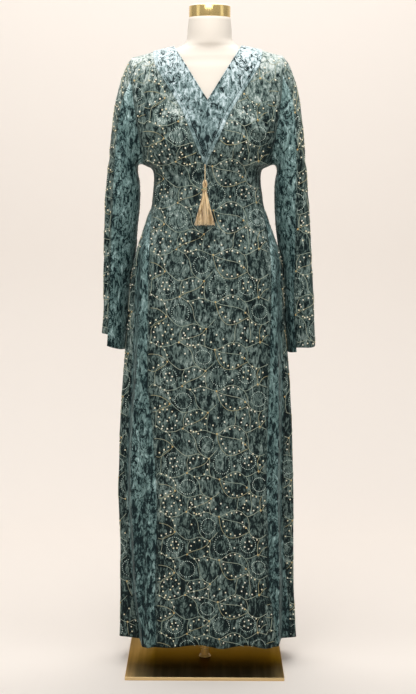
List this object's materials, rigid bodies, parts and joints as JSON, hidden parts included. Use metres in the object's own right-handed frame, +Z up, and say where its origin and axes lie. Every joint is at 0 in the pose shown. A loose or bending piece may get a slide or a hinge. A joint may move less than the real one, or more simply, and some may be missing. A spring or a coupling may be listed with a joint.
{
  "type": "jalabiya on a dress form and stand",
  "caption": "Long teal crushed-velvet jalabiya with gold and silver embroidery, V yoke and tassel, on an ivory limbless dress form with a brass stand.",
  "frame": {"origin": "centre of the underside of the stand plate, which is under the pole", "axes": "+Z up along the pole, +X to the viewer's right as the dress is looked at from its front, the front faces -Y"},
  "size_m": [0.5076, 0.372, 1.573],
  "materials": {
    "velvet": "crushed velvet, embroidered",
    "plain_velvet": "crushed velvet, plain",
    "trim": "velvet band",
    "thread": "shiny rayon thread",
    "form_cloth": "stretched ivory cloth",
    "brass": "polished"
  },
  "bodies": {
    "root": {"front_panel": "velvet", "back_panel": "velvet", "side_gore_left": "plain_velvet", "side_gore_right": "plain_velvet", "sleeve_strip_left": "plain_velvet", "sleeve_back_left": "velvet", "sleeve_strip_right": "plain_velvet", "sleeve_back_right": "velvet", "neck_yoke": "trim", "yoke_edging": "trim", "tassel_cord": "thread", "tassel": "thread", "form_body": "form_cloth", "neck_band": "brass", "neck_plate": "form_cloth", "stand_pole": "brass", "stand_flange": "brass", "stand_plate": "brass"}
  },
  "joints": []
}
